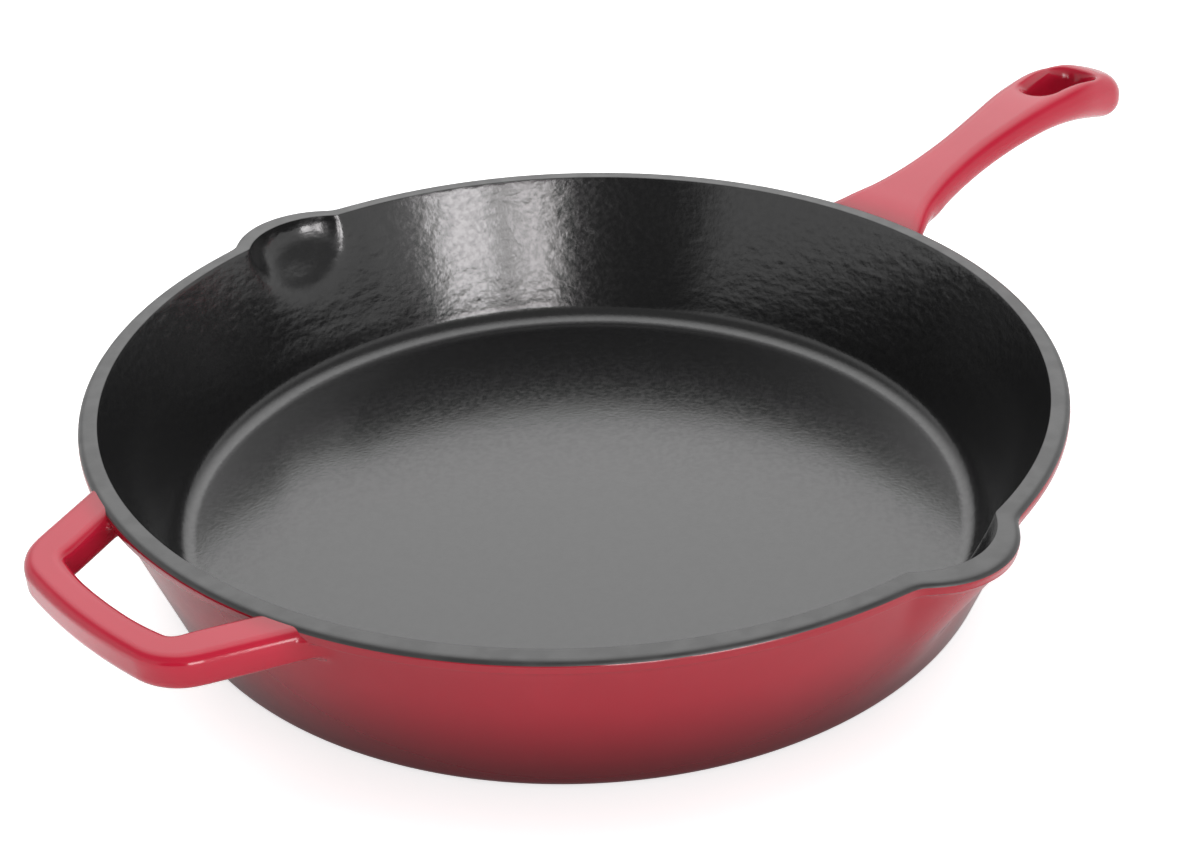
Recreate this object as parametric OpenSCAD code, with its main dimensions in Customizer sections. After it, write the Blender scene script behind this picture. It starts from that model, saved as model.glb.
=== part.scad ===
// Enamelled cast iron skillet, 12 inch, with two pour spouts, a long handle and a helper handle.
// Frame: origin at the centre of the flat base, +Z up, long handle along +X, spouts along +Y and -Y.
// The finished surface is the outside of the enamel. Every shape takes a growth in mm: 0 gives the
// finished surface, and -enamel_t gives the bare iron under it.

/* [Pan] */
// Outer diameter of the rim, without the spouts
rim_d = 304.8; // [290:0.2:320]
// Height of the rim above the surface it stands on
pan_h = 58.8; // [52:0.1:66]
// Diameter at which the outer wall would meet the base plane
base_d = 262.6; // [256:0.2:268]
// Width of the flat band on top of the rim
rim_w = 5.9; // [5:0.1:7]
// How far the bead stands out beyond the wall at the rim
bead_out = 1; // [0.6:0.1:2]
// Height of the bead round the outside of the rim
bead_h = 4.2; // [3:0.1:6]
// Rounding radius of the bead's edges
bead_round = 1.1; // [0.8:0.1:1.4]
// Height of the cooking surface above the base
floor_t = 7.5; // [6:0.1:9]
// Radius of the fillet between floor and wall inside
floor_fillet = 8; // [5:0.5:14]
// Rounding radius between base and wall outside
base_round = 4.5; // [3:0.1:8]

/* [Spouts] */
// How far the rim of a spout reaches from the pan's axis
spout_reach = 161.5; // [158:0.1:165]
// Width of the rim band at the middle of a spout
spout_rim_w = 7.6; // [6.5:0.1:9]
// Radius of the bulge outside
spout_r = 33.5; // [28:0.5:40]
// Radius of the pocket inside
pocket_r = 32.5; // [27:0.5:39]
// Lean of a spout away from upright, in degrees
spout_lean = 30; // [28:0.5:34]

/* [Long handle] */
// How far the handle's tip reaches from the pan's axis
handle_reach = 298.4; // [290:0.2:310]
// Half-width of the handle where it leaves the rim
handle_root = 21; // [17:0.5:24]
// Half-width of the neck
handle_neck = 10.4; // [9.5:0.1:12.5]
// Half-width of the grip, round the hanging hole
handle_grip = 15.3; // [14.5:0.1:17]
// Half-thickness of the neck
handle_half_t = 5.8; // [5:0.1:7]
// Height of the grip's middle above the base
handle_rise = 72.8; // [66:0.1:80]
// Radius of the hanging hole's wide end
hang_wide_r = 7.8; // [7:0.1:8.6]
// Radius of the hanging hole's narrow end
hang_narrow_r = 5.4; // [4.5:0.1:6.5]
// Distance between the middles of the hanging hole's two ends
hang_span = 20; // [14:0.5:24]

/* [Helper handle] */
// How far the helper handle's bar reaches from the pan's axis
helper_reach = 179.6; // [174:0.5:190]
// Half-width between the middles of the two legs at the rim
helper_root_half_w = 39; // [36:0.2:42]
// How far each leg leans inwards as it leaves the rim, in degrees
helper_leg_lean = 23.5; // [18:0.5:28]
// Width of the bar
helper_bar_w = 11.4; // [10:0.2:14]
// Width of a leg
helper_leg_w = 13.6; // [12:0.2:17]
// Thickness of the bar and the legs
helper_t = 10.8; // [9:0.1:13]

/* [Enamel] */
// Thickness of each enamel coat
enamel_t = 0.45; // [0.3:0.05:0.6]
// How far the black rim coat reaches down from the top of the rim
rim_coat_h = 1.1; // [0.8:0.1:1.6]

/* [Hidden] */
$fn = 96;

rim_r = rim_d / 2;
wall_slope = (rim_r - bead_out - base_d / 2) / pan_h;
wall_k = sqrt(1 + wall_slope * wall_slope);
base_flat_r = base_d / 2 + base_round * (wall_slope - wall_k);
cavity_top_r = rim_r - rim_w;
cavity_flat_r = cavity_top_r - wall_slope * (pan_h - floor_t - floor_fillet) - floor_fillet * wall_k;
bead_overlap = 1;       // how far the bead's section reaches into the wall
spout_bead_out = 2;     // how far the bead stands out at the middle of a spout
spout_bottom = 14;      // height at which a spout's cylinder is cut off, inside the wall
pocket_bottom = 20;     // height at which a pocket's cylinder is cut off, inside the cavity
clear = 5;              // overshoot of a cutting shape past what it cuts
wide = 400;             // larger than the whole pan

// Superellipse section of both handles
handle_power = 0.62;
helper_power = 0.5;
section_sides = 20;

// Long handle stations: [x, half-width, height of the middle, half-thickness]
handle_stations = [
    [142, handle_root + 5, handle_rise - 24.0, handle_half_t - 0.8],
    [152, handle_root, handle_rise - 19.4, handle_half_t - 0.4],
    [162, 14.6, handle_rise - 16.6, handle_half_t],
    [176, 11.6, handle_rise - 13.5, handle_half_t],
    [198, handle_neck, handle_rise - 8.8, handle_half_t],
    [224, 11.3, handle_rise - 3.6, handle_half_t],
    [246, 13.9, handle_rise - 0.4, handle_half_t + 0.8],
    [262, handle_grip, handle_rise - 0.2, handle_half_t + 1.8],
    [276, 15, handle_rise - 2.1, handle_half_t + 2.3],
    [290, 13.9, handle_rise - 5.2, handle_half_t + 2.1]
];
tip_length = 13;        // length over which the tip closes
tip_start = handle_reach - tip_length;
tip_fall = 0.15;        // fall of the middle line over the tip, per mm
hang_wide_x = 273;
hang_narrow_x = hang_wide_x - hang_span;
handle_step = 6;
tip_step = 12;

helper_mid = helper_reach - helper_bar_w / 2;     // radius of the bar's middle line
helper_corner = 9.5;                              // radius of the middle line at the corners
helper_drop = 0.4;                                // top of the handle below the top of the rim
helper_z = pan_h - helper_drop - helper_t / 2;
helper_start = 128;                               // where the legs start, inside the wall
helper_leg_d = sin(helper_leg_lean) * rim_r + cos(helper_leg_lean) * helper_root_half_w;
helper_bar_a = asin((helper_leg_d - helper_corner) / (helper_mid - helper_corner)) - helper_leg_lean;

// ---- Curves ----------------------------------------------------------------

// Smooth interpolation of column c of a station table at x, with matched slopes
function slope_at(t, c, i) =
    let (a = max(i - 1, 0), b = min(i + 1, len(t) - 1))
    (t[b][c] - t[a][c]) / (t[b][0] - t[a][0]);
function segment_of(t, x, i = 0) = (i >= len(t) - 2 || x < t[i + 1][0]) ? i : segment_of(t, x, i + 1);
function smooth(t, c, x) =
    let (i = segment_of(t, x), h = t[i + 1][0] - t[i][0], u = (x - t[i][0]) / h,
         p = t[i][c], q = t[i + 1][c], m = slope_at(t, c, i) * h, n = slope_at(t, c, i + 1) * h)
    (2*u*u*u - 3*u*u + 1) * p + (u*u*u - 2*u*u + u) * m + (3*u*u - 2*u*u*u) * q + (u*u*u - u*u) * n;

function signed_power(v, p) = sign(v) * pow(abs(v), p);
function section_point(half_w, half_t, power, a) =
    [half_w * signed_power(cos(a), power), half_t * signed_power(sin(a), power)];
function section(half_w, half_t, power) =
    [for (k = [0 : section_sides - 1]) section_point(half_w, half_t, power, 360 * (k + 0.5) / section_sides)];

// ---- General shapes --------------------------------------------------------

// Closed skin through a list of rings that all have the same number of points, which run
// anticlockwise when seen from the last ring
module skin(rings) {
    n = len(rings[0]);
    m = len(rings);
    sides = [for (i = [0 : m - 2]) for (j = [0 : n - 1])
        [i * n + j, (i + 1) * n + j, (i + 1) * n + (j + 1) % n, i * n + (j + 1) % n]];
    first = [for (j = [0 : n - 1]) j];
    last = [for (j = [0 : n - 1]) m * n - 1 - j];
    polyhedron([for (r = rings) each r], concat([first], sides, [last]), convexity = 6);
}

module level(low, high) {
    translate([-wide / 2, -wide / 2, low]) cube([wide, wide, high - low]);
}

// ---- Pan -------------------------------------------------------------------

function wall_r(z, grow) = base_d / 2 + wall_slope * z + grow * wall_k;

module outer_profile(grow) {
    round_r = base_round + grow;
    polygon([
        [0, -grow],
        [base_flat_r, -grow],
        [base_flat_r + round_r / wall_k, base_round - round_r * wall_slope / wall_k],
        [wall_r(pan_h - bead_h / 2, grow), pan_h - bead_h / 2],
        [rim_r - bead_round, pan_h + grow],
        [0, pan_h + grow]
    ]);
    translate([base_flat_r, base_round]) circle(round_r);
    bead_profile(grow);
}

module bead_profile(grow) {
    low = pan_h - bead_h + bead_round;
    high = pan_h - bead_round;
    for (z = [low, high]) {
        translate([rim_r - bead_round, z]) circle(bead_round + grow);
    }
    translate([rim_r - bead_round - bead_overlap, low])
        square([bead_round + bead_overlap + grow, high - low]);
}

// One spout's leaning cylinder, with its rim at the given reach from the pan's axis
module spout_cylinder(reach, r, low, high) {
    intersection() {
        translate([0, reach - r / cos(spout_lean), pan_h])
            rotate([-spout_lean, 0, 0])
                cylinder(h = 3 * pan_h, r = r, center = true);
        translate([-wide / 2, 0, low]) cube([wide, wide, high - low]);
    }
}

module both_spouts() {
    for (turn = [0, 180]) rotate([0, 0, turn]) children();
}

module pan_outside(grow) {
    bead_reach = spout_reach + grow / cos(spout_lean);
    wall_reach = bead_reach - spout_bead_out;
    bulge_r = spout_r - spout_bead_out / 2;
    rotate_extrude() outer_profile(grow);
    both_spouts() {
        spout_cylinder(wall_reach, bulge_r + grow, spout_bottom, pan_h + grow);
        spout_cylinder(bead_reach, spout_r + grow, pan_h - bead_h - grow, pan_h + grow);
    }
}

module cavity_profile(grow) {
    round_r = floor_fillet + grow;
    middle_z = floor_t + floor_fillet;
    polygon([
        [0, floor_t - grow],
        [cavity_flat_r, floor_t - grow],
        [cavity_flat_r + round_r / wall_k, middle_z - round_r * wall_slope / wall_k],
        [cavity_top_r + grow * wall_k + clear * wall_slope, pan_h + clear],
        [0, pan_h + clear]
    ]);
    translate([cavity_flat_r, middle_z]) circle(round_r);
}

module pan_inside(grow) {
    reach = spout_reach - spout_rim_w + grow / cos(spout_lean);
    rotate_extrude() cavity_profile(grow);
    both_spouts() spout_cylinder(reach, pocket_r + grow, pocket_bottom, pan_h + clear);
}

module pan_casting() {
    color("#3d3d3f")
    difference() {
        pan_outside(-enamel_t);
        pan_inside(enamel_t);
    }
}

module cooking_surface_enamel() {
    color("#202022")
    intersection() {
        difference() {
            pan_inside(enamel_t);
            pan_inside(0);
        }
        level(0, pan_h - rim_coat_h);
    }
}

module rim_enamel() {
    color("#2e2e30")
    intersection() {
        difference() {
            pan_outside(0);
            pan_inside(0);
            difference() {
                pan_outside(-enamel_t);
                pan_inside(enamel_t);
            }
        }
        level(pan_h - rim_coat_h, pan_h + clear);
    }
}

module wall_enamel() {
    color("#a3202c")
    intersection() {
        difference() {
            pan_outside(0);
            pan_outside(-enamel_t);
            translate([0, 0, -clear]) cylinder(h = clear + base_round / 2, r = base_flat_r);
            long_handle(-enamel_t);
            helper_handle(-enamel_t);
        }
        level(-clear, pan_h - rim_coat_h);
    }
}

module base_enamel() {
    color("#2a1012")
    cylinder(h = enamel_t, r = base_flat_r);
}

// ---- Long handle -----------------------------------------------------------

function handle_ring(x, grow) =
    [for (p = section(smooth(handle_stations, 1, x) + grow, smooth(handle_stations, 3, x) + grow, handle_power))
        [x, p[0], smooth(handle_stations, 2, x) + p[1]]];

// The tip closes on a quarter of an ellipse, and its middle keeps falling more and more gently
function tip_ring(a, grow) =
    let (x = tip_start + (handle_reach + grow - tip_start) * sin(a),
         half_w = smooth(handle_stations, 1, tip_start) + grow,
         half_t = smooth(handle_stations, 3, tip_start) + grow,
         middle = smooth(handle_stations, 2, tip_start) - tip_fall * (x - tip_start))
    [for (p = section(half_w * cos(a), half_t * cos(a), handle_power)) [x, p[0], middle + p[1]]];

module hanging_hole(grow) {
    wide_r = hang_wide_r - grow;
    narrow_r = hang_narrow_r - grow;
    lean = asin((wide_r - narrow_r) / hang_span);
    translate([0, 0, pan_h - clear]) linear_extrude(handle_rise) {
        translate([hang_wide_x, 0]) circle(wide_r);
        translate([hang_narrow_x, 0]) circle(narrow_r);
        polygon([for (side = [1, -1], end = side > 0 ? [0, 1] : [1, 0])
            let (r = end == 1 ? wide_r : narrow_r, x = end == 1 ? hang_wide_x : hang_narrow_x)
            [x - r * sin(lean), side * r * cos(lean)]]);
    }
}

module long_handle(grow) {
    start = handle_stations[0][0];
    body_rings = [for (x = [start : handle_step : tip_start - 1]) handle_ring(x, grow)];
    tip_rings = [for (a = [0 : tip_step : 90 - tip_step / 2]) tip_ring(a, grow)];
    difference() {
        skin(concat(body_rings, tip_rings));
        hanging_hole(grow);
    }
}

module long_handle_casting() {
    color("#3d3d3f")
    difference() {
        long_handle(-enamel_t);
        pan_outside(-enamel_t);
    }
}

module long_handle_enamel() {
    color("#c23440")
    difference() {
        long_handle(0);
        long_handle(-enamel_t);
        pan_outside(0);
    }
}

// ---- Helper handle ---------------------------------------------------------

// Middle line of the half on the +Y side, as [distance out, distance to the side]
function helper_corner_point(a) =
    (helper_mid - helper_corner) * [cos(helper_bar_a), sin(helper_bar_a)] + helper_corner * [cos(a), sin(a)];
helper_leg_end = helper_corner_point(90 - helper_leg_lean);
function helper_leg_point(out) =
    [out, helper_leg_end[1] + (helper_leg_end[0] - out) * tan(helper_leg_lean)];

// Stations of that half from the rim to the bar: [middle, direction across, width]
helper_half = concat(
    [for (k = [0 : 3])
        [helper_leg_point(helper_start + (helper_leg_end[0] - helper_start) * k / 4), 90 - helper_leg_lean,
         helper_leg_w]],
    [for (k = [0 : 6])
        let (a = 90 - helper_leg_lean - (90 - helper_leg_lean - helper_bar_a) * k / 6)
        [helper_corner_point(a), a, helper_leg_w + (helper_bar_w - helper_leg_w) * k / 6]],
    [for (k = [1 : 3])
        let (a = helper_bar_a * (1 - k / 3.5))
        [helper_mid * [cos(a), sin(a)], a, helper_bar_w]]
);

// One ring across the middle line, on the side given by its sign
function helper_ring(station, sign, grow) =
    let (middle = station[0], across = station[1])
    [for (p = section(station[2] / 2 + grow, helper_t / 2 + grow, helper_power))
        [-middle[0] - p[0] * cos(across), sign * (middle[1] + p[0] * sin(across)), helper_z - p[1]]];

module helper_handle(grow) {
    near = [for (station = helper_half) helper_ring(station, 1, grow)];
    far = [for (i = [len(helper_half) - 1 : -1 : 0]) helper_ring(helper_half[i], -1, grow)];
    skin(concat(near, far));
}

module helper_handle_casting() {
    color("#3d3d3f")
    difference() {
        helper_handle(-enamel_t);
        pan_outside(-enamel_t);
    }
}

module helper_handle_enamel() {
    color("#c23440")
    difference() {
        helper_handle(0);
        helper_handle(-enamel_t);
        pan_outside(0);
    }
}

// ---- Nodes -----------------------------------------------------------------

pan_casting();
long_handle_casting();
helper_handle_casting();
cooking_surface_enamel();
rim_enamel();
wall_enamel();
base_enamel();
long_handle_enamel();
helper_handle_enamel();
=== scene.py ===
# Enamelled cast iron skillet: the looks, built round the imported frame.
# Shapes are worked out in millimetres in the frame's own axes and turned into metres in to_object().
import math
from itertools import product

import bmesh
import bpy
import numpy as np
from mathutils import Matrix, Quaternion, Vector

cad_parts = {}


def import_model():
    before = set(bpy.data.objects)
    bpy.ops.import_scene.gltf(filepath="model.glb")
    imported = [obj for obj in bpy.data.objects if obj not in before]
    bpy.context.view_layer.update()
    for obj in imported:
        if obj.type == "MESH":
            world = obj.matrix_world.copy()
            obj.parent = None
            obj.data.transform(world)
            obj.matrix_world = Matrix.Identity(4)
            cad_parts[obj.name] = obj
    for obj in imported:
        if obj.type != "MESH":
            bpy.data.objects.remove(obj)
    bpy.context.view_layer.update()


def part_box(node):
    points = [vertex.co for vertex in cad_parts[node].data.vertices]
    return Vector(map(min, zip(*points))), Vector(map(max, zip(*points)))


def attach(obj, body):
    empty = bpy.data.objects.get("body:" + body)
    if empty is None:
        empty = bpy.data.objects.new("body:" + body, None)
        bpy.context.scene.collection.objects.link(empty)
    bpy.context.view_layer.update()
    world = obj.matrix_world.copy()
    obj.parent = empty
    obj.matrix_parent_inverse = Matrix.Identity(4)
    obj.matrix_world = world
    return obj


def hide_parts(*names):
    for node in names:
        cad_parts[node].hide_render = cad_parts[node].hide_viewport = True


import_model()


def box_mm(node):
    low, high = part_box(node)
    return np.array(low) * 1000, np.array(high) * 1000


# ---- Sizes in mm: the driving ones come from the frame -----------------------

rim_high = box_mm("rim_enamel")[1]
base_high = box_mm("base_enamel")[1]
inside_low = box_mm("cooking_surface_enamel")[0]
grip_high = box_mm("long_handle_enamel")[1]
loop_low, loop_high = box_mm("helper_handle_enamel")

PAN_H = rim_high[2]
RIM_R = rim_high[0]
BASE_R = base_high[0]
COAT = base_high[2]
FLOOR_Z = inside_low[2] + COAT
SPOUT_REACH = rim_high[1]

RIM_W = 5.9                   # flat band round the rim
BEAD_OUT = 1.0                # how far the bead stands out beyond the wall at the rim
BEAD_H = 3.6
BEAD_ROUND = 2.2              # rounding of the rim's outer edge
COAT_EDGE = 1.25              # how far below the rim the bare coat gives way to red
BEAD_FALL = 1.9               # height of the slope under the bead
BEAD_SAG = 0.25               # how hollow that slope is
BEAD_CORNER = 0.5             # rounding of the bead's lower edge
BEAD_CORNER_UP = 0.3          # height of that rounding's middle over the bead's foot
BEAD_SIDE_UP = 0.7            # height at which the bead's upright side starts, over its foot
INNER_ROUND = 0.4             # rounding of the rim's inner edge
BASE_ROUND = 4.5
FLOOR_FILLET = 8.0

WALL_FOOT = BASE_R + 3.25     # radius at which the outer wall would meet the base plane
WALL_SLOPE = (RIM_R - BEAD_OUT - WALL_FOOT) / PAN_H
WALL_LEAN = math.atan(WALL_SLOPE)
CAVITY_R = RIM_R - RIM_W

SPOUT_R = 26.8                # plan radius of a spout's bulge outside
SPOUT_LEAN = 0.577            # how fast the bulge comes in with depth
SPOUT_FILLET = 2.0            # softness of the crease where the bulge leaves the wall
SPOUT_FULL = 0.15             # how much fuller a spout's wall is than its bead
SPOUT_FULL_RUN = 1.2          # height over which it gets fuller
SPOUT_FOOT = 6.0              # height at which a spout's bulge has run out
SPOUT_BAND = 7.7              # width of the rim band at the middle of a spout
POCKET_R = 26.0               # plan radius of a spout's pocket inside, at the rim
POCKET_TAPER = 0.35           # how fast that radius shrinks with depth
POCKET_DEPTH = 19.0           # how far down the wall the pocket reaches
POCKET_FULL = 2.0             # how squarely the pocket's wall turns in at its foot
POCKET_EDGE = 0.35            # softness of the pocket's edge at the rim
POCKET_SOFT = 0.17            # how fast that edge softens with depth
POCKET_FOOT = 14.0            # height at which the pocket has run out
FOOT_FADE = 12.0              # height over which a bulge or a pocket runs out
SPOUT_HALF_ANGLE = 15.0
SPOUT_FADE_FROM = 11.0        # degrees from a spout's middle at which its shape starts to fade
STEP_AT_SPOUT = 0.4           # degrees between the pan's mesh columns
STEP_ROUND = 1.25
STEP_CHANGE = 14.0            # degrees over which one step becomes the other

# Long handle: x, half-width, height of the middle, half-thickness
HANDLE = np.array([
    (142, 27.6, 49.8, 5.0),
    (149, 23.8, 51.9, 5.4),
    (154, 20.8, 53.5, 5.6),
    (160, 17.9, 55.3, 5.8),
    (168, 14.8, 57.3, 5.8),
    (178, 12.5, 59.6, 5.8),
    (198, 10.7, 64.0, 5.8),
    (224, 11.7, 69.2, 5.9),
    (246, 14.1, 72.2, 6.7),
    (262, 15.3, 72.0, 8.1),
    (276, 15.2, 69.8, 9.0),
    (290, 15.0, 66.6, 8.9),
    (304, 15.0, 63.4, 8.6),
])
HANDLE_REACH = grip_high[0]
TIP_R = 15.0                  # plan radius of the tip
NECK_W = 10.5                 # half-width at the neck
ROOT_TUCK = 0.45              # how much of the root's flare is gone at the underside
TUCK_UP = 1.7                 # how far up that goes, in half-thicknesses
FLARE_END = 176.0             # where the flare of the root's top face has run out
FLARE_RUN = 12.0              # length over which it runs out
HANDLE_TOP_ROUND = 5.6
GRIP_TOP_ROUND = 8.3
GRIP_FROM = 225.0             # where the one rounding starts to become the other
GRIP_RUN = 40.0
HANDLE_LOW_ROUND = 0.93       # rounding underneath, in half-thicknesses
HANDLE_FILLET = 3.2
HOLE = ((273.6, 6.8), (261.0, 4.9))   # x and radius of the hanging hole's two ends, underneath
HOLE_LIP = 1.8                # softness of the hole's edges
HOLE_FLARE = 3.1              # how much wider the hole is at the top, on each side
HOLE_FLARE_POWER = 2.2        # how late on the way up it gets wider
HOLE_RAMP = 9.0               # how far its narrow end leans towards the pan on the way up

# Helper handle
HELPER_REACH = -loop_low[0] + 0.8     # 0.8 past the CAD, which fits the photograph better
HELPER_T = loop_high[2] - loop_low[2]
HELPER_Z = (loop_high[2] + loop_low[2]) / 2
HELPER_BAR_W = 10.5
HELPER_LEG_W = 13.2
HELPER_LEAN = math.radians(23.5)      # how far each leg splays towards the pan
HELPER_ROOT = 39.0            # how far to the side a leg's middle line is at x = -RIM_R
HELPER_CORNER = 10.5
HELPER_ROUND = 3.3
HELPER_FILLET = 3.0
LEG_WIDENS = (-12.0, 16.0)    # where along a leg it starts to widen, and over how far

# Where a handle's coat meets the pan's
RIM_CREASE = 0.15             # fillet where a handle's top meets the rim band
RIM_SINK = 0.7                # how far a handle's fillet has sunk into the bead at the rim
RIM_ZONE = 1.2                # depth below the rim at which the fillet starts to open
RIM_BLEND = 3.0               # height over which it opens
COAT_DIVE = 0.3               # how fast the handle's coat dives under the wall's, past the fillet
RIM_DIVE = 3.0                # the same at the rim
COAT_OVERLAP = 1.6            # how far past the fillet the handle's coat runs on
KEPT_UNDER_WALL = 0.3         # how deep under the wall's coat it is cut off
KEPT_UNDER_RIM = 1.5          # the same at the rim
EDGE_SLACK = 0.3              # play allowed at the edges of the rim

# Mesh of the handles: cell size, its pull towards even cells, and the iron's coarser cells
CELL = 0.8
RELAX = (0.5, 0.5, 0.4, 0.0, 0.0)
IRON_CELL = 1.25

LONG_NET = ((141, -30, 38), (HANDLE_REACH + 2, 30, 86))
HELPER_NET = ((-HELPER_REACH - 2, -62, 38), (-132, 62, PAN_H + 2))

# ---- Small tools -------------------------------------------------------------


def smooth_step(t):
    t = np.clip(t, 0, 1)
    return t * t * (3 - 2 * t)


def mix(a, b, t):
    return a + (b - a) * t


def smooth_max(a, b, k):
    return (a + b + np.sqrt((a - b) ** 2 + k * k)) / 2


def smooth_min(a, b, k):
    h = np.clip(k - np.abs(a - b), 0, None)
    return np.minimum(a, b) - h * h / (4 * k)


def curve(table, column, x):
    """Cubic through one column of a station table, with matched slopes."""
    xs = table[:, 0]
    ys = table[:, column]
    slopes = np.gradient(ys, xs)
    i = np.clip(np.searchsorted(xs, x) - 1, 0, len(xs) - 2)
    h = xs[i + 1] - xs[i]
    u = np.clip((x - xs[i]) / h, 0, 1)
    rise = (2 * u**3 - 3 * u**2 + 1) * ys[i] + (3 * u**2 - 2 * u**3) * ys[i + 1]
    return rise + (u**3 - 2 * u**2 + u) * slopes[i] * h + (u**3 - u**2) * slopes[i + 1] * h


def arc(centre, r, start, end, n):
    """n points from one angle to another, in degrees."""
    a = np.radians(np.linspace(start, end, n))
    return np.stack([centre[0] + r * np.cos(a), centre[1] + r * np.sin(a)], 1)


def line(start, end, n):
    return np.linspace(start, end, n)


def to_object(name, points, faces, node, material, normals=None):
    """A mesh piece from points in mm, standing for one CAD node and riding on its body."""
    mesh = bpy.data.meshes.new(name)
    mesh.from_pydata((np.asarray(points) / 1000).tolist(), [], faces)
    mesh.validate()
    work = bmesh.new()
    work.from_mesh(mesh)
    bmesh.ops.recalc_face_normals(work, faces=work.faces)
    work.to_mesh(mesh)
    work.free()
    mesh.shade_smooth()
    mesh.set_sharp_from_angle(angle=math.radians(38))
    piece = bpy.data.objects.new(name, mesh)
    bpy.context.scene.collection.objects.link(piece)
    mesh.materials.append(material)
    if normals is not None:
        mesh.normals_split_custom_set_from_vertices(normals.tolist())
    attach(piece, "root")
    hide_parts(node)
    return piece


def surface_normals(rows):
    """Unit normals of a grid of rows that close on themselves round the pan."""
    along = np.gradient(rows, axis=0)
    around = np.roll(rows, -1, 1) - np.roll(rows, 1, 1)
    normal = np.cross(around, along)
    size = np.linalg.norm(normal, axis=2, keepdims=True)
    flat = size[..., 0] < 1e-9
    normal = normal / np.where(size < 1e-9, 1, size)
    normal[flat] = (0, 0, 0)
    return normal


def loft(rows, closed):
    """Points and faces through rows of points; a row that has shrunk to the axis becomes one point."""
    points = []
    index = []
    for row in rows:
        first = len(points)
        if np.ptp(row, axis=0).max() < 1e-6:
            points.append(row[0])
            index.append([first] * len(row))
        else:
            points.extend(row)
            index.append(list(range(first, first + len(row))))
    pairs = list(zip(index, index[1:] + (index[:1] if closed else [])))
    faces = []
    for low, high in pairs:
        for j in range(len(low)):
            k = (j + 1) % len(low)
            face = [low[j], low[k], high[k], high[j]]
            face = [v for i, v in enumerate(face) if v not in face[:i]]
            if len(face) > 2:
                faces.append(face)
    return np.array(points), faces


# ---- Materials ---------------------------------------------------------------


class Nodes:
    """Short names for the few shader nodes that the materials and the world are made of."""

    def __init__(self, tree, coords):
        self.tree = tree
        self.coords = self.new("ShaderNodeTexCoord").outputs[coords]

    def new(self, kind):
        return self.tree.nodes.new(kind)

    def link(self, source, target):
        self.tree.links.new(source, target)

    def sum(self, first, second):
        node = self.new("ShaderNodeMath")
        self.link(first, node.inputs[0])
        self.link(second, node.inputs[1])
        return node.outputs[0]

    def product(self, first, second):
        node = self.new("ShaderNodeMath")
        node.operation = "MULTIPLY"
        for socket, value in zip(node.inputs, (first, second)):
            if isinstance(value, float):
                socket.default_value = value
            else:
                self.link(value, socket)
        return node.outputs[0]

    def along(self, direction, vector=None):
        """How far a vector, by default the coordinates, points along a direction."""
        node = self.new("ShaderNodeVectorMath")
        node.operation = "DOT_PRODUCT"
        node.inputs[1].default_value = direction
        self.link(vector or self.coords, node.inputs[0])
        return node.outputs["Value"]

    def fit(self, value, low, high, to_low=0.0, to_high=1.0):
        node = self.new("ShaderNodeMapRange")
        node.interpolation_type = "SMOOTHSTEP"
        keys = ("From Min", "From Max", "To Min", "To Max")
        for key, number in zip(keys, (low, high, to_low, to_high)):
            node.inputs[key].default_value = number
        self.link(value, node.inputs["Value"])
        return node.outputs["Result"]


class Surface(Nodes):
    """A material: its nodes run in the object's own coordinates, in metres."""

    def __init__(self, name):
        self.material = bpy.data.materials.new(name)
        self.material.use_nodes = True
        super().__init__(self.material.node_tree, "Object")
        self.shader = self.tree.nodes["Principled BSDF"]

    def set(self, **values):
        for key, value in values.items():
            self.shader.inputs[key.replace("_", " ")].default_value = value

    def noise(self, scale, detail=2.0, rough=0.5, stretch=(1, 1, 1)):
        stretched = self.new("ShaderNodeMapping")
        stretched.inputs["Scale"].default_value = stretch
        self.link(self.coords, stretched.inputs["Vector"])
        node = self.new("ShaderNodeTexNoise")
        node.inputs["Scale"].default_value = scale
        node.inputs["Detail"].default_value = detail
        node.inputs["Roughness"].default_value = rough
        self.link(stretched.outputs["Vector"], node.inputs["Vector"])
        return node.outputs["Fac"]

    def height(self):
        node = self.new("ShaderNodeSeparateXYZ")
        self.link(self.coords, node.inputs["Vector"])
        return node.outputs["Z"]

    def radius(self):
        flat = self.new("ShaderNodeVectorMath")
        flat.operation = "MULTIPLY"
        flat.inputs[1].default_value = (1, 1, 0)
        self.link(self.coords, flat.inputs[0])
        length = self.new("ShaderNodeVectorMath")
        length.operation = "LENGTH"
        self.link(flat.outputs["Vector"], length.inputs[0])
        return length.outputs["Value"]

    def blend(self, factor, first, second):
        node = self.new("ShaderNodeMix")
        node.data_type = "RGBA"
        self.link(factor, node.inputs[0])
        for socket, value in ((node.inputs[6], first), (node.inputs[7], second)):
            if isinstance(value, tuple):
                socket.default_value = (*value, 1)
            else:
                self.link(value, socket)
        return node.outputs[2]

    def bump(self, height, depth_mm, strength=1.0, under=None):
        node = self.new("ShaderNodeBump")
        node.inputs["Distance"].default_value = depth_mm / 1000
        node.inputs["Strength"].default_value = strength
        self.link(height, node.inputs["Height"])
        if under is not None:
            self.link(under, node.inputs["Normal"])
        return node.outputs["Normal"]

    def finish(self, colour=None, roughness=None, normal=None, coat_normal=None):
        keys = ("Base Color", "Roughness", "Normal", "Coat Normal")
        for key, value in zip(keys, (colour, roughness, normal, coat_normal)):
            if value is not None:
                self.link(value, self.shader.inputs[key])
        return self.material


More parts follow.
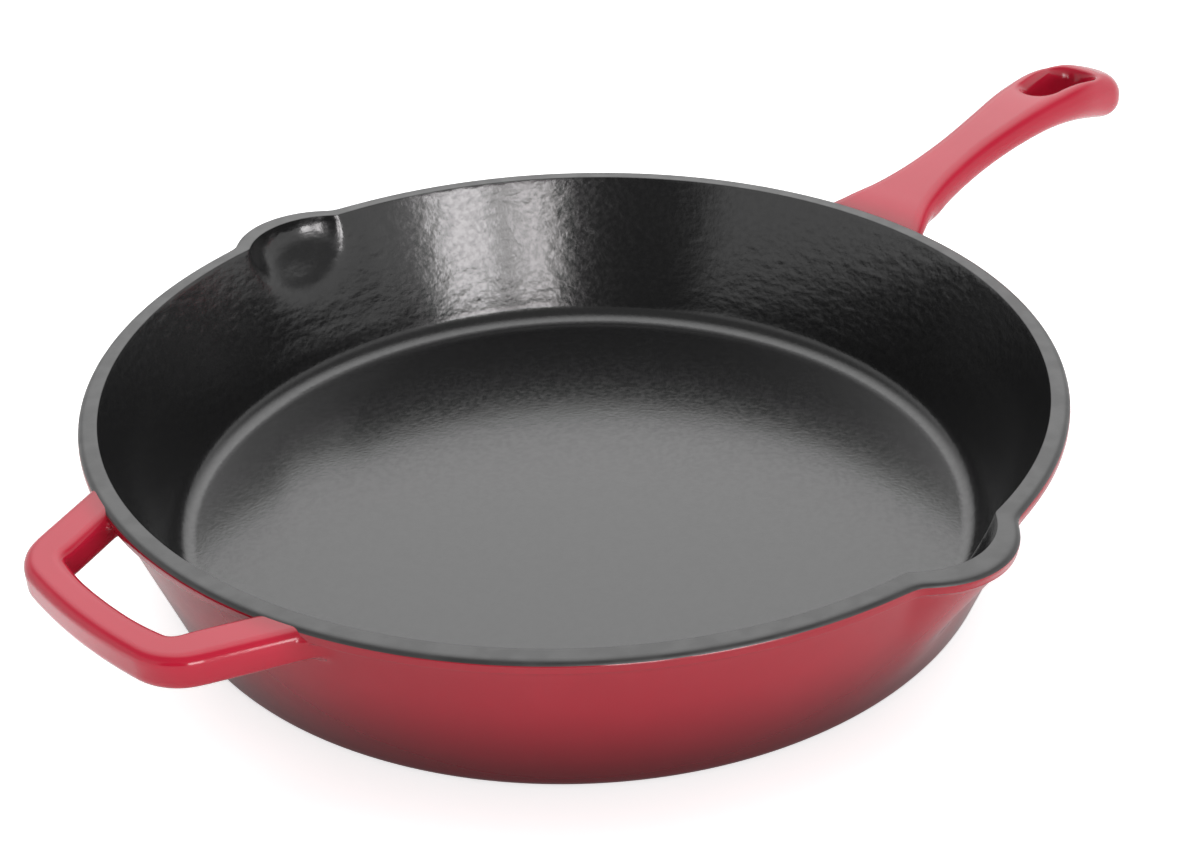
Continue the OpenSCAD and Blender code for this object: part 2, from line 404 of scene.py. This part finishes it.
RED_TOP = (0.262, 0.010, 0.020)
RED_LOW = (0.062, 0.0015, 0.004)
RED_TOP_CLOUD = (0.285, 0.013, 0.024)
# Handle red: partly the coat's own lighter red, partly painted light on the handles' upper faces
RED_HANDLE_WITH_PAINTED_LIGHT = (0.41, 0.009, 0.030)
RED_HANDLE_CLOUD_WITH_PAINTED_LIGHT = (0.43, 0.013, 0.036)
BLACK = (0.0095, 0.0095, 0.0098)
BLACK_WORN = (0.013, 0.013, 0.0132)
RIM_BLACK = (0.014, 0.014, 0.0142)
RIM_RUBBED = (0.02, 0.02, 0.02)
BASE_DARK = (0.03, 0.005, 0.008)
BASE_RUBBED = (0.06, 0.024, 0.024)
IRON = (0.05, 0.05, 0.052)
IRON_LIGHT = (0.085, 0.083, 0.08)

# Heights and radii in metres between which one look gives way to another
MAROON_TO_RED = (-0.004, 0.042)
WALL_TO_HANDLE = ((RIM_R - 3) / 1000, (RIM_R + 7) / 1000)
# Heights between which the handles go from painted shade low down (most of the way to the wall's darker
# red) to their brighter red higher up
PAINTED_SHADE_HEIGHTS = (0.044, 0.062)
FLOOR_TO_RIPPLE = (0.010, 0.019)


def wall_red(n):
    """Sprayed red that shades to maroon towards the base."""
    shade = n.fit(n.height(), *MAROON_TO_RED)
    cloud = n.fit(n.noise(22, 3.0), 0.35, 0.7)
    return n.blend(cloud, n.blend(shade, RED_LOW, RED_TOP), n.blend(shade, RED_LOW, RED_TOP_CLOUD))


def gloss_red(n, body):
    n.set(IOR=1.43, Coat_Weight=0.04, Coat_Roughness=0.03, Coat_IOR=1.45)
    peel = n.bump(n.noise(250, 1.5, 0.4), 0.05, 0.5)
    return n.finish(body, n.fit(n.noise(60), 0.3, 0.7, 0.09, 0.15), peel, peel)


def red_enamel():
    """Gloss red on the pan's wall."""
    n = Surface("red_enamel")
    return gloss_red(n, wall_red(n))


def handle_enamel():
    """The same gloss red, brighter on the handles and shading into the wall's at their roots. The
    brighter red is partly the coat's own lighter red and partly painted light on the handles' upper
    faces; lower down the handles it falls back towards the wall's darker red as painted shade.
    """
    n = Surface("handle_enamel")
    cloud = n.fit(n.noise(30, 3.0), 0.35, 0.7)
    red_with_painted_light = n.blend(cloud, RED_HANDLE_WITH_PAINTED_LIGHT, RED_HANDLE_CLOUD_WITH_PAINTED_LIGHT)
    away = n.fit(n.radius(), *WALL_TO_HANDLE)
    # Painted shade: lower down, the handles' red falls back most of the way to the wall's darker red,
    # standing in for the light their lower sides miss
    away = n.product(away, n.fit(n.height(), *PAINTED_SHADE_HEIGHTS, 0.25, 1.0))
    return gloss_red(n, n.blend(away, wall_red(n), red_with_painted_light))


def black_enamel():
    """Satin black with the pebbled skin of a sprayed coat on sand-cast iron."""
    n = Surface("black_enamel")
    n.set(IOR=1.62)
    body = n.blend(n.fit(n.noise(900, 2.0), 0.45, 0.75), BLACK, BLACK_WORN)
    on_wall = n.fit(n.height(), *FLOOR_TO_RIPPLE, 0.2, 1.0)
    ripple = n.bump(n.product(n.noise(185, 1.2, 0.4, (1, 1, 1.9)), on_wall), 0.17, 0.7)
    pebble = n.bump(n.noise(800, 1.0, 0.5), 0.05, 0.65, ripple)
    return n.finish(body, n.fit(n.noise(500), 0.35, 0.65, 0.17, 0.23), pebble)


def rim_enamel():
    """The smoother black coat that is left bare on the rim."""
    n = Surface("rim_enamel")
    n.set(IOR=1.62)
    body = n.blend(n.fit(n.noise(120, 3.0), 0.4, 0.7), RIM_BLACK, RIM_RUBBED)
    skin = n.bump(n.noise(700, 2.0, 0.5), 0.05, 0.5)
    return n.finish(body, n.fit(n.noise(150), 0.35, 0.65, 0.36, 0.44), skin)


def base_enamel():
    """Dark coat under the base, rubbed by hobs and shelves."""
    n = Surface("base_enamel")
    n.set(IOR=1.5, Coat_Weight=0.2, Coat_Roughness=0.1)
    worn = n.fit(n.noise(160, 6.0, 0.65), 0.5, 0.68)
    body = n.blend(worn, BASE_DARK, BASE_RUBBED)
    skin = n.bump(n.noise(300, 3.0), 0.12, 0.6)
    return n.finish(body, n.fit(worn, 0, 1, 0.3, 0.55), skin)


def cast_iron():
    """Bare sand-cast iron, hidden under the enamel."""
    n = Surface("cast_iron")
    n.set(Metallic=0.85)
    body = n.blend(n.noise(200, 4.0), IRON, IRON_LIGHT)
    grain = n.bump(n.noise(1500, 4.0, 0.7), 0.15)
    return n.finish(body, n.fit(n.noise(400), 0.3, 0.7, 0.55, 0.75), grain)


# ---- Pan ---------------------------------------------------------------------


def inner_wall_r(z):
    return CAVITY_R - WALL_SLOPE * (PAN_H - z)


def pan_profile():
    """Points (r, z) once round the pan's section, and the indexes at which its named parts start."""
    lean = math.degrees(WALL_LEAN)
    wall_k = 1 / math.cos(WALL_LEAN)
    bead_low = PAN_H - BEAD_H
    wall_top = bead_low - BEAD_FALL
    wall_end = (WALL_FOOT + WALL_SLOPE * wall_top, wall_top)
    corner = (RIM_R - BEAD_CORNER, bead_low + BEAD_CORNER_UP)
    under = line(wall_end, (corner[0], corner[1] - BEAD_CORNER), 6)
    under[:, 0] -= np.sin(np.linspace(0, math.pi, 6)) * BEAD_SAG
    corner_arc = arc(corner, BEAD_CORNER, -80, 0, 4)
    bead_side = line((RIM_R, bead_low + BEAD_SIDE_UP), (RIM_R, PAN_H - BEAD_ROUND), 3)
    base_arc = arc((BASE_R, BASE_ROUND), BASE_ROUND, -90, -lean, 8)
    fillet_z = FLOOR_Z + FLOOR_FILLET
    fillet_r = inner_wall_r(fillet_z) - FLOOR_FILLET * wall_k
    fillet = arc((fillet_r, fillet_z), FLOOR_FILLET, -lean, -90, 12)
    edge_turn = math.degrees(math.asin(1 - COAT_EDGE / BEAD_ROUND))
    top_middle = (RIM_R - BEAD_ROUND, PAN_H - BEAD_ROUND)
    red_arc = arc(top_middle, BEAD_ROUND, 0, edge_turn, 5)
    bare_arc = arc(top_middle, BEAD_ROUND, edge_turn, 90, 8)
    edge_z = PAN_H - INNER_ROUND
    edge_r = inner_wall_r(edge_z) + INNER_ROUND * wall_k
    inner_arc = arc((edge_r, edge_z), INNER_ROUND, 90, 180 - lean, 6)
    parts = {
        "base": line((0, 0), (BASE_R, 0), 7)[:-1],
        "base_round": base_arc[:-1],
        "wall": line(base_arc[-1], wall_end, 30)[:-1],
        "under_bead": under[:-1],
        "bead_corner": corner_arc,
        "bead_side": bead_side[:-1],
        "red_round": red_arc[:-1],
        "bare_round": bare_arc[:-1],
        "band": line(bare_arc[-1], inner_arc[0], 6)[:-1],
        "inner_round": inner_arc[:-1],
        "inner_wall": line(inner_arc[-1], fillet[0], 36)[:-1],
        "fillet": fillet[:-1],
        "floor": line(fillet[-1], (0, FLOOR_Z), 8),
    }
    starts = np.cumsum([0] + [len(part) for part in parts.values()])
    return np.concatenate(list(parts.values())), dict(zip(parts, starts))


def plan_reach(angle, middle, r):
    """Distance from the axis to a circle of radius r whose middle is out along angle 0."""
    inside = np.clip(r * r - (middle * np.sin(angle)) ** 2, 0, None)
    return middle * np.cos(angle) + np.sqrt(inside)


def spout_bulge(angle, z, share):
    """How far a spout moves the wall outwards: share 1 is the outside, 0 the inside."""
    depth = PAN_H - z
    out_middle = SPOUT_REACH - SPOUT_R - SPOUT_LEAN * depth
    out_wall = RIM_R - WALL_SLOPE * depth
    out = smooth_max(plan_reach(angle, out_middle, SPOUT_R) - out_wall, 0, SPOUT_FILLET)
    in_wall = CAVITY_R - WALL_SLOPE * depth
    in_hollow = SPOUT_REACH - SPOUT_BAND - CAVITY_R
    sunk = 1 - np.clip(depth / POCKET_DEPTH, 0, None) ** POCKET_FULL
    foot = CAVITY_R - WALL_SLOPE * POCKET_DEPTH
    in_reach = foot + (CAVITY_R + in_hollow - foot) * sunk
    pocket_r = POCKET_R - POCKET_TAPER * np.clip(depth, 0, POCKET_DEPTH)
    in_middle = in_reach - pocket_r
    soft = POCKET_EDGE + POCKET_SOFT * depth
    into = smooth_max(plan_reach(angle, in_middle, pocket_r) - in_wall, 0, soft)
    fade_run = SPOUT_HALF_ANGLE - SPOUT_FADE_FROM
    fade = 1 - smooth_step((np.abs(np.degrees(angle)) - SPOUT_FADE_FROM) / fade_run)
    below_bead = smooth_step((PAN_H - BEAD_H + BEAD_CORNER_UP - z) / SPOUT_FULL_RUN)
    out = out * smooth_step((z - SPOUT_FOOT) / FOOT_FADE) * (1 + SPOUT_FULL * below_bead)
    into = into * smooth_step((z - POCKET_FOOT) / FOOT_FADE)
    return mix(into, out, share) * fade


def around_pan():
    """Angles round the pan in degrees: close together at the spouts, widening smoothly away from them."""
    ticks = np.linspace(0, 360, 3601)
    from_spout = np.abs((ticks % 180) - 90)
    step = mix(STEP_AT_SPOUT, STEP_ROUND, smooth_step((from_spout - SPOUT_HALF_ANGLE) / STEP_CHANGE))
    passed = np.concatenate([[0], np.cumsum(ticks[1] / step[1:])])
    count = round(passed[-1])
    return np.interp(np.arange(count) * passed[-1] / count, passed, ticks)


def pan_grid():
    """The pan's skin as rows of points, one row for each point of the profile."""
    profile, start = pan_profile()
    theta = np.radians(around_pan())[None, :]
    r, z = profile[:, 0:1], profile[:, 1:2]
    share = np.clip((r - CAVITY_R) / RIM_W, 0, 1)
    order = np.arange(len(profile))[:, None]
    share = np.where(order >= start["inner_wall"] - 1, 0, share)
    share = np.where(order <= start["bare_round"], 1, share)
    bulge = 0
    for middle in (math.pi / 2, -math.pi / 2):
        away = (theta - middle + math.pi) % (2 * math.pi) - math.pi
        near = np.abs(away) < math.radians(SPOUT_HALF_ANGLE)
        bulge = bulge + np.where(near, spout_bulge(np.where(near, away, 0), z, share), 0)
    reach = r + bulge
    return np.stack([reach * np.cos(theta), reach * np.sin(theta), z + 0 * reach], 2), start


def pan_pieces(black, rim, red, base, iron):
    """Four coats with the iron under them, all from one skin."""
    rows, start = pan_grid()
    normals = surface_normals(rows)
    normals[0] = (0, 0, -1)
    normals[-1] = (0, 0, 1)
    if normals[0, 0, 2] * normals[1, 0, 2] < 0:
        normals[1:-1] *= -1
    under = rows - normals * COAT
    base_edge = start["base_round"]
    rim_out = start["bare_round"]
    rim_in = start["inner_wall"] - 1
    spans = (
        ("base_coat", "base_enamel", 0, base_edge, base),
        ("wall_coat", "wall_enamel", base_edge, rim_out, red),
        ("rim_coat", "rim_enamel", rim_out, rim_in, rim),
        ("cooking_surface_coat", "cooking_surface_enamel", rim_in, len(rows) - 1, black),
    )
    for name, node, first, last, material in spans:
        skin = list(rows[first:last + 1]) + list(under[first:last + 1][::-1])
        points, faces = loft(skin, closed=first > 0)
        to_object(name, points, faces, node, material)
    points, faces = loft(list(under), closed=False)
    to_object("pan_iron", points, faces, "pan_casting", iron)


# ---- Handles as smooth solids ------------------------------------------------


class PanSolid:
    """Distance from the filled outline of the pan, away from the spouts."""

    def __init__(self):
        profile, start = pan_profile()
        self.outline = np.concatenate([profile[1:start["inner_round"]], [(0, PAN_H)]])

    def __call__(self, p):
        r = np.hypot(p[..., 0], p[..., 1])
        z = p[..., 2]
        best = np.full(r.shape, np.inf)
        for (r0, z0), (r1, z1) in zip(self.outline[:-1], self.outline[1:]):
            dr, dz = r1 - r0, z1 - z0
            t = np.clip(((r - r0) * dr + (z - z0) * dz) / (dr * dr + dz * dz), 0, 1)
            best = np.minimum(best, (r - r0 - t * dr) ** 2 + (z - z0 - t * dz) ** 2)
        wall = self.outline[self.outline[:, 0] > BASE_R - 1]
        edge = np.interp(z, wall[:, 1], wall[:, 0])
        inside = (r < edge) & (z < PAN_H) & (z > 0)
        return np.where(inside, -1, 1) * np.sqrt(best)


def rounded_bar(plan, height, half_t, top_round, low_round):
    """Distance from a bar: plan is the distance from its outline, height is over its middle."""
    r = np.where(height > 0, top_round, low_round)
    across = plan + r
    up = np.abs(height) - half_t + r
    outside = np.hypot(np.maximum(across, 0), np.maximum(up, 0))
    return np.minimum(np.maximum(across, up), 0) + outside - r


def teardrop(x, y, up):
    """Distance from the hanging hole: two circles and their common tangents, wider towards the top."""
    (x0, r0), (x1, r1) = HOLE
    span = x0 - x1 + HOLE_RAMP * up
    along = x0 - x
    side = np.abs(y)
    b = (r0 - r1) / span
    a = np.sqrt(1 - b * b)
    k = -b * side + a * along
    flank = a * side + b * along - r0
    near = np.hypot(along, side) - r0
    far = np.hypot(along - span, side) - r1
    return np.where(k < 0, near, np.where(k > a * span, far, flank)) - HOLE_FLARE * up**HOLE_FLARE_POWER


def slope_of(column, x):
    return curve(HANDLE, column, x + 0.5) - curve(HANDLE, column, x - 0.5)


def long_handle(p):
    """Distance from the long handle, without its fillet."""
    x, y, z = p[..., 0], p[..., 1], p[..., 2]
    half_w = curve(HANDLE, 1, x)
    middle = curve(HANDLE, 2, x)
    half_t = curve(HANDLE, 3, x)
    height = (z - middle) / np.sqrt(1 + slope_of(2, x) ** 2)
    flare = np.clip(half_w - NECK_W, 0, None) * (x < FLARE_END)
    tuck = 1 - smooth_step((height + half_t) / (TUCK_UP * half_t))
    narrowing = smooth_step((FLARE_END - x) / FLARE_RUN)
    half_w = half_w - ROOT_TUCK * flare * tuck * narrowing
    side = (np.abs(y) - half_w) / np.sqrt(1 + slope_of(1, x) ** 2)
    tip_x = HANDLE_REACH - TIP_R
    tip = np.hypot(np.maximum(x - tip_x, 0), y) - TIP_R
    plan = np.where(x > tip_x, tip, side)
    grip = smooth_step((x - GRIP_FROM) / GRIP_RUN)
    top_round = mix(HANDLE_TOP_ROUND, GRIP_TOP_ROUND, grip)
    solid = rounded_bar(plan, height, half_t, top_round, HANDLE_LOW_ROUND * half_t)
    up = np.clip((height + half_t) / (2 * half_t), 0, 1.2)
    return smooth_max(solid, -teardrop(x, y, up), HOLE_LIP)


def helper_geometry():
    """The helper bar's radius in plan, the angle at which it ends and the middle of its corner."""
    mid = HELPER_REACH - HELPER_BAR_W / 2
    offset = math.sin(HELPER_LEAN) * RIM_R + math.cos(HELPER_LEAN) * HELPER_ROOT
    bar_angle = math.asin((offset - HELPER_CORNER) / (mid - HELPER_CORNER)) - HELPER_LEAN
    centre = (mid - HELPER_CORNER) * np.array([math.cos(bar_angle), math.sin(bar_angle)])
    return mid, bar_angle, centre


def helper_handle(p):
    """Distance from the helper handle: a bent bar, two corners and two legs, without fillets."""
    mid, bar_angle, centre = helper_geometry()
    out, side, z = -p[..., 0], np.abs(p[..., 1]), p[..., 2]
    angle = np.arctan2(side, out)
    ring = np.abs(np.hypot(out, side) - mid)
    bar = np.where(angle < bar_angle, ring, np.inf)
    normal = math.pi / 2 - HELPER_LEAN
    leg_end = centre + HELPER_CORNER * np.array([math.cos(normal), math.sin(normal)])
    direction = np.array([-math.cos(HELPER_LEAN), math.sin(HELPER_LEAN)])
    along = (out - leg_end[0]) * direction[0] + (side - leg_end[1]) * direction[1]
    off_line = np.abs((out - leg_end[0]) * direction[1] - (side - leg_end[1]) * direction[0])
    leg = np.hypot(off_line, np.minimum(along, 0))
    turn = np.arctan2(side - centre[1], out - centre[0])
    in_corner = (turn > bar_angle) & (turn < normal)
    off_arc = np.abs(np.hypot(out - centre[0], side - centre[1]) - HELPER_CORNER)
    corner = np.where(in_corner, off_arc, np.inf)
    path = np.minimum(np.minimum(bar, leg), corner)
    share = smooth_step((along - LEG_WIDENS[0]) / LEG_WIDENS[1])
    half_w = mix(HELPER_BAR_W, HELPER_LEG_W, share) / 2
    return rounded_bar(path - half_w, z - HELPER_Z, HELPER_T / 2, HELPER_ROUND, HELPER_ROUND)


def below_rim(p):
    """0 at the rim and 1 a little way down the wall."""
    return smooth_step((PAN_H - RIM_ZONE - p[..., 2]) / RIM_BLEND)


def joined(handle, pan, fillet):
    """A handle with a fillet onto the pan, whose skin then dives under the pan's own surface."""
    def field(p):
        a, b = handle(p), pan(p)
        low = below_rim(p)
        k = mix(RIM_CREASE, fillet, low)
        beyond = np.maximum(a - k, 0)
        over_band = np.maximum(RIM_R - EDGE_SLACK - np.hypot(p[..., 0], p[..., 1]), 0)
        dive = mix(RIM_SINK + RIM_DIVE * (beyond + over_band), COAT_DIVE * beyond**2, low)
        return smooth_min(a, b + dive, k)
    return field


def gradient(field, points, step=0.02):
    parts = []
    for axis in range(3):
        offset = np.zeros(3)
        offset[axis] = step
        parts.append((field(points + offset) - field(points - offset)) / (2 * step))
    return np.stack(parts, -1)


def net(field, low, high, step):
    """Quads on the zero surface of a field: one point for each cell that the surface crosses."""
    axes = [np.arange(a, b + step, step) for a, b in zip(low, high)]
    grid = np.stack(np.meshgrid(*axes, indexing="ij"), -1)
    value = field(grid)
    shape = np.array(value.shape) - 1
    total = np.zeros((*shape, 3))
    count = np.zeros(shape)
    quads = []
    cells = np.zeros(shape, bool)
    crossings = []
    for axis in range(3):
        first = np.take(value, range(0, value.shape[axis] - 1), axis)
        second = np.take(value, range(1, value.shape[axis]), axis)
        cut = (first < 0) != (second < 0)
        where = np.argwhere(cut)
        t = (first[cut] / (first[cut] - second[cut]))[:, None]
        point = grid[tuple(where.T)] + t * step * np.eye(3)[axis]
        others = [a for a in range(3) if a != axis]
        crossings.append((where, first[cut] < 0, axis, others))
        for da, db in product((0, 1), repeat=2):
            cell = where.copy()
            cell[:, others[0]] -= da
            cell[:, others[1]] -= db
            good = ((cell >= 0) & (cell < shape)).all(1)
            spot = tuple(cell[good].T)
            np.add.at(total, spot, point[good])
            np.add.at(count, spot, 1)
            cells[spot] = True
    index = -np.ones(shape, int)
    index[cells] = np.arange(cells.sum())
    points = total[cells] / count[cells][:, None]
    for where, inside_first, axis, others in crossings:
        ring = []
        for da, db in ((0, 0), (1, 0), (1, 1), (0, 1)):
            cell = where.copy()
            cell[:, others[0]] -= da
            cell[:, others[1]] -= db
            ring.append(cell)
        good = np.all([((c >= 0) & (c < shape)).all(1) for c in ring], axis=0)
        quad = np.stack([index[tuple(c[good].T)] for c in ring], 1)
        flip = inside_first[good] ^ (axis == 1)
        quads.append(np.where(flip[:, None], quad[:, ::-1], quad))
    quads = np.concatenate(quads)
    for relax in RELAX:
        if relax:
            pull = np.zeros_like(points)
            weight = np.zeros(len(points))
            for a, b in ((0, 1), (1, 2), (2, 3), (3, 0)):
                for s, t in ((a, b), (b, a)):
                    np.add.at(pull, quads[:, s], points[quads[:, t]])
                    np.add.at(weight, quads[:, s], 1)
            points = points + relax * (pull / np.maximum(weight, 1)[:, None] - points)
        slope = gradient(field, points)
        size = np.maximum((slope**2).sum(1), 0.05)
        points = points - slope * (field(points) / size)[:, None]
    slope = gradient(field, points)
    normals = slope / np.maximum(np.linalg.norm(slope, axis=1, keepdims=True), 1e-6)
    return points, quads, normals


def coat_of(points, quads, normals, keep):
    """Closed coat of even thickness under the kept part of a surface."""
    quads = quads[keep[quads].all(1)]
    used = np.unique(quads)
    renumber = -np.ones(len(points), int)
    renumber[used] = np.arange(len(used))
    quads = renumber[quads]
    points, normals = points[used], normals[used]
    n = len(points)
    edges = np.concatenate([quads[:, [a, (a + 1) % 4]] for a in range(4)])
    key = np.sort(edges, 1)
    _, first, counts = np.unique(key, axis=0, return_index=True, return_counts=True)
    border = edges[first[counts == 1]]
    faces = quads.tolist() + (quads[:, ::-1] + n).tolist()
    faces += [[b, a, a + n, b + n] for a, b in border.tolist()]
    return np.concatenate([points, points - normals * COAT]), faces, np.concatenate([normals, -normals])


def handle_pieces(red, iron):
    """Each handle's coat, cut off just under the pan's, and the iron inside it."""
    pan = PanSolid()
    step = CELL
    jobs = (
        ("long_handle", long_handle, HANDLE_FILLET, *LONG_NET),
        ("helper_handle", helper_handle, HELPER_FILLET, *HELPER_NET),
    )
    for name, solid, fillet, low, high in jobs:
        points, quads, normals = net(joined(solid, pan, fillet), low, high, step)
        keep = pan(points) > -mix(KEPT_UNDER_RIM, KEPT_UNDER_WALL, below_rim(points))
        outside_bowl = np.hypot(points[:, 0], points[:, 1]) > RIM_R - BEAD_ROUND - EDGE_SLACK
        keep &= outside_bowl | (points[:, 2] < PAN_H - BEAD_H)
        keep &= solid(points) < fillet + COAT_OVERLAP
        coat, faces, coat_normals = coat_of(points, quads, normals, keep)
        to_object(name + "_coat", coat, faces, name + "_enamel", red, coat_normals)

        def core(p):
            return np.maximum(solid(p) + COAT, -pan(p) - COAT)

        points, quads, _ = net(core, low, high, IRON_CELL * step)
        to_object(name + "_iron", points, quads.tolist(), name + "_casting", iron)


# ---- Studio ------------------------------------------------------------------

# The camera was solved from the rim circle, the base outline, the spouts and the handles
CAMERA_AT = (-0.3583, -0.3829, 0.3469)
CAMERA_AHEAD = (0.5948, 0.6199, -0.5117)
CAMERA_ROLL = -1.73
CAMERA_LENS = 57.17
CAMERA_SHIFT = (0.0031, 0.0053)

# Directions are azimuth and elevation in degrees, and glows are radiances.
# A spread gives the cosines, from the direction, at which a glow starts and is full.
BACKDROP_TOWARD = (45, 62)
BACKDROP_SPREAD = (0.62, 0.97)
BACKDROP_GLOW = 3.0
HORIZON_SPREAD = (0.3, 0.6)
HORIZON_GLOW = 1.25
FRONT_GLOW = 0.4
GAP_TOWARD = (-150, 8)        # a dark gap between the studio's boards
GAP_SPREAD = (0.9, 0.965)
GAP_LEFT = 0.1                # share of the glow that is left in the gap
WORLD_WHITE = 1.3             # strength at which the world's grey is white to the camera

# Name, azimuth, elevation, width, height, radiance, colour
WINDOWS = (
    ("window_right", -104, 12, 0.46, 0.5, 11.2, (1, 0.97, 0.98)),
    ("window_left", -123, 12, 0.33, 0.5, 10.2, (1, 0.96, 0.97)),
)
WINDOW_AWAY = 1.6

FLOOR_R = 6
FLOOR_DROP = 0.0002           # keeps the floor clear of the base
FLOOR_SHADE = 0.85
FLOOR_LIFT = 0.6              # makes the floor read as white paper to the camera alone
FLOOR_GLOW = 0.9              # what the gloss sees of the floor on either side
DIM_SIDE = -133               # the floor on this side stays dim in the gloss
DIM_SPREAD = (0.4, 0.85)
SIDE_SPREAD = (0.1, 0.45)
CLEAR_OF_PAN = (0.16, 0.2)    # radii in metres at which that glow starts and is full


def toward(azimuth, elevation):
    a, e = math.radians(azimuth), math.radians(elevation)
    return Vector((math.cos(e) * math.cos(a), math.cos(e) * math.sin(a), math.sin(e)))


def camera():
    data = bpy.data.cameras.new("camera")
    data.sensor_width = 36
    data.lens = CAMERA_LENS
    data.shift_x, data.shift_y = CAMERA_SHIFT
    eye = bpy.data.objects.new("camera", data)
    eye.location = CAMERA_AT
    roll = Quaternion((0, 0, 1), math.radians(CAMERA_ROLL))
    eye.rotation_mode = "QUATERNION"
    eye.rotation_quaternion = Vector(CAMERA_AHEAD).to_track_quat("-Z", "Y") @ roll
    bpy.context.scene.collection.objects.link(eye)
    bpy.context.scene.camera = eye


def window(name, azimuth, elevation, width, height, radiance, colour):
    data = bpy.data.lights.new(name, "AREA")
    data.shape = "RECTANGLE"
    data.size, data.size_y = width, height
    data.energy = radiance * math.pi * width * height
    data.color = colour
    light = bpy.data.objects.new(name, data)
    light.location = toward(azimuth, elevation) * WINDOW_AWAY
    light.rotation_mode = "QUATERNION"
    light.rotation_quaternion = (-light.location).to_track_quat("-Z", "Y")
    bpy.context.scene.collection.objects.link(light)


def world():
    """White to the camera; for the object a bright backdrop overhead and behind, dimmer in front."""
    sky = bpy.data.worlds.new("studio")
    bpy.context.scene.world = sky
    sky.use_nodes = True
    sky.node_tree.nodes.clear()
    n = Nodes(sky.node_tree, "Generated")
    backdrop = n.fit(n.along(toward(*BACKDROP_TOWARD)), *BACKDROP_SPREAD, 0.0, BACKDROP_GLOW)
    horizon = n.fit(n.along((0, 0, 1)), *HORIZON_SPREAD, HORIZON_GLOW, FRONT_GLOW)
    gap = n.fit(n.along(toward(*GAP_TOWARD)), *GAP_SPREAD, 1.0, GAP_LEFT)
    seen = n.new("ShaderNodeMix")
    seen.data_type = "FLOAT"
    seen.inputs[3].default_value = WORLD_WHITE
    n.link(n.new("ShaderNodeLightPath").outputs["Is Camera Ray"], seen.inputs[0])
    n.link(n.sum(n.product(horizon, gap), backdrop), seen.inputs[2])
    back = n.new("ShaderNodeBackground")
    n.link(seen.outputs[0], back.inputs["Strength"])
    n.link(back.outputs[0], n.new("ShaderNodeOutputWorld").inputs["Surface"])


def floor():
    mesh = bpy.data.meshes.new("studio_floor")
    work = bmesh.new()
    bmesh.ops.create_circle(work, cap_ends=True, segments=96, radius=FLOOR_R)
    work.to_mesh(mesh)
    work.free()
    piece = bpy.data.objects.new("studio_floor", mesh)
    piece.location = (0, 0, -FLOOR_DROP)
    bpy.context.scene.collection.objects.link(piece)
    n = Surface("studio_floor")
    n.set(Roughness=0.8, Base_Color=(FLOOR_SHADE, FLOOR_SHADE, FLOOR_SHADE, 1), Specular_IOR_Level=0.1)
    n.set(Emission_Color=(1, 1, 1, 1))
    path = n.new("ShaderNodeLightPath")
    lift = n.product(path.outputs["Is Camera Ray"], FLOOR_LIFT)
    place = n.new("ShaderNodeVectorMath")
    place.operation = "NORMALIZE"
    n.link(n.coords, place.inputs[0])
    front = n.along(toward(DIM_SIDE, 0), place.outputs["Vector"])
    sides = n.product(n.fit(front, *DIM_SPREAD, FLOOR_GLOW, 0.0), n.fit(front, *SIDE_SPREAD))
    beside = n.product(sides, n.fit(n.radius(), *CLEAR_OF_PAN))
    glow = n.product(path.outputs["Is Glossy Ray"], beside)
    n.link(n.sum(lift, glow), n.shader.inputs["Emission Strength"])
    mesh.materials.append(n.material)


camera()
world()
floor()
for row in WINDOWS:
    window(*row)
bpy.context.scene.view_settings.view_transform = "Standard"

iron = cast_iron()
pan_pieces(black_enamel(), rim_enamel(), red_enamel(), base_enamel(), iron)
handle_pieces(handle_enamel(), iron)
